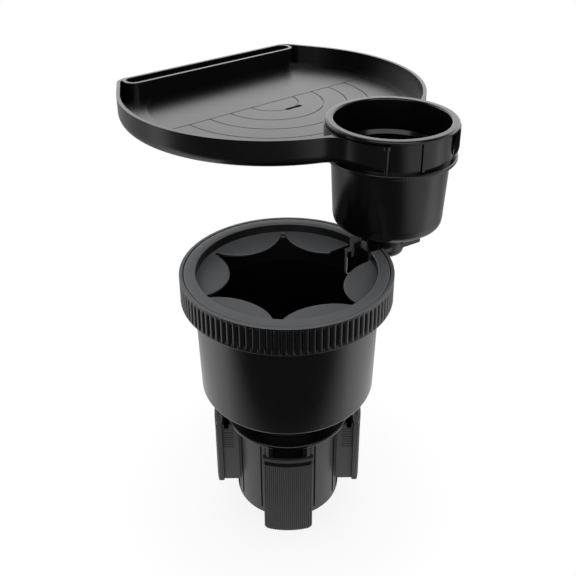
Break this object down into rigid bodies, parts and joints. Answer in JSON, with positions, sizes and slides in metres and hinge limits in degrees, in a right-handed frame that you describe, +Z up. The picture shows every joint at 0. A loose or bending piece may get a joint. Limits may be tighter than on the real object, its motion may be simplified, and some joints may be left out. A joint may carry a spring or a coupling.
{
  "type": "car cup holder",
  "caption": "Car cup holder with a turn-to-expand ribbed base, a knurled lower cup with soft petals, an offset upper cup on a swivel arm and a round tray with a phone slot.",
  "frame": {"origin": "centre of the flat bottom of the base hub, on the axis of the lower cup", "axes": "+Z up along the lower cup's axis, -Y towards the viewer of the picture, +X to the viewer's right"},
  "size_m": [0.2082, 0.2677, 0.2362],
  "materials": {
    "moulded_plastic": "fine satin, injection moulded",
    "soft_insert": "matte elastomer",
    "pad_rubber": "matte ribbed rubber",
    "plated_steel": "zinc plated"
  },
  "bodies": {
    "base": {"base_hub": "moulded_plastic", "base_cover": "moulded_plastic"},
    "foot_right": {"foot_slider_right": "moulded_plastic", "foot_pad_right": "pad_rubber"},
    "foot_back": {"foot_slider_back": "moulded_plastic", "foot_pad_back": "pad_rubber"},
    "foot_left": {"foot_slider_left": "moulded_plastic", "foot_pad_left": "pad_rubber"},
    "foot_front": {"foot_slider_front": "moulded_plastic", "foot_pad_front": "pad_rubber"},
    "lower_body": {"lower_cup": "moulded_plastic", "grip_ring": "moulded_plastic", "petal_insert": "soft_insert", "scroll_plate": "moulded_plastic", "spindle_washer": "plated_steel", "spindle_screw": "plated_steel", "swivel_arm": "moulded_plastic", "arm_screws": "plated_steel", "swivel_washer": "moulded_plastic"},
    "upper_body": {"upper_cup": "moulded_plastic", "keeper_washer": "plated_steel", "swivel_screw": "plated_steel"},
    "tray": {"tray": "moulded_plastic"}
  },
  "joints": [
    {"name": "cup_turn", "type": "hinge", "parent": "base", "child": "lower_body", "pos_m": [0, 0, 0.0615], "axis": [0, 0, 1], "range_deg": [-95, 20]},
    {"name": "foot_slide_right", "type": "slide", "parent": "base", "child": "foot_right", "axis": [1, 0, 0], "range_m": [-0.0096, 0.0021]},
    {"name": "foot_slide_back", "type": "slide", "parent": "base", "child": "foot_back", "axis": [0, 1, 0], "range_m": [-0.0096, 0.0021]},
    {"name": "foot_slide_left", "type": "slide", "parent": "base", "child": "foot_left", "axis": [-1, 0, 0], "range_m": [-0.0096, 0.0021]},
    {"name": "foot_slide_front", "type": "slide", "parent": "base", "child": "foot_front", "axis": [0, -1, 0], "range_m": [-0.0096, 0.0021]},
    {"name": "cup_swivel", "type": "hinge", "parent": "lower_body", "child": "upper_body", "pos_m": [0.0599, 0.03642, 0.1595], "axis": [0, 0, 1], "continuous": true},
    {"name": "tray_swivel", "type": "hinge", "parent": "upper_body", "child": "tray", "pos_m": [0.0599, 0.03642, 0.2265], "axis": [0, 0, 1], "range_deg": [-42, 25]}
  ],
  "couplings": [
    {"joint": "foot_slide_right", "follows": "cup_turn", "m_per_rad": 0.0057296},
    {"joint": "foot_slide_back", "follows": "cup_turn", "m_per_rad": 0.0057296},
    {"joint": "foot_slide_left", "follows": "cup_turn", "m_per_rad": 0.0057296},
    {"joint": "foot_slide_front", "follows": "cup_turn", "m_per_rad": 0.0057296}
  ]
}
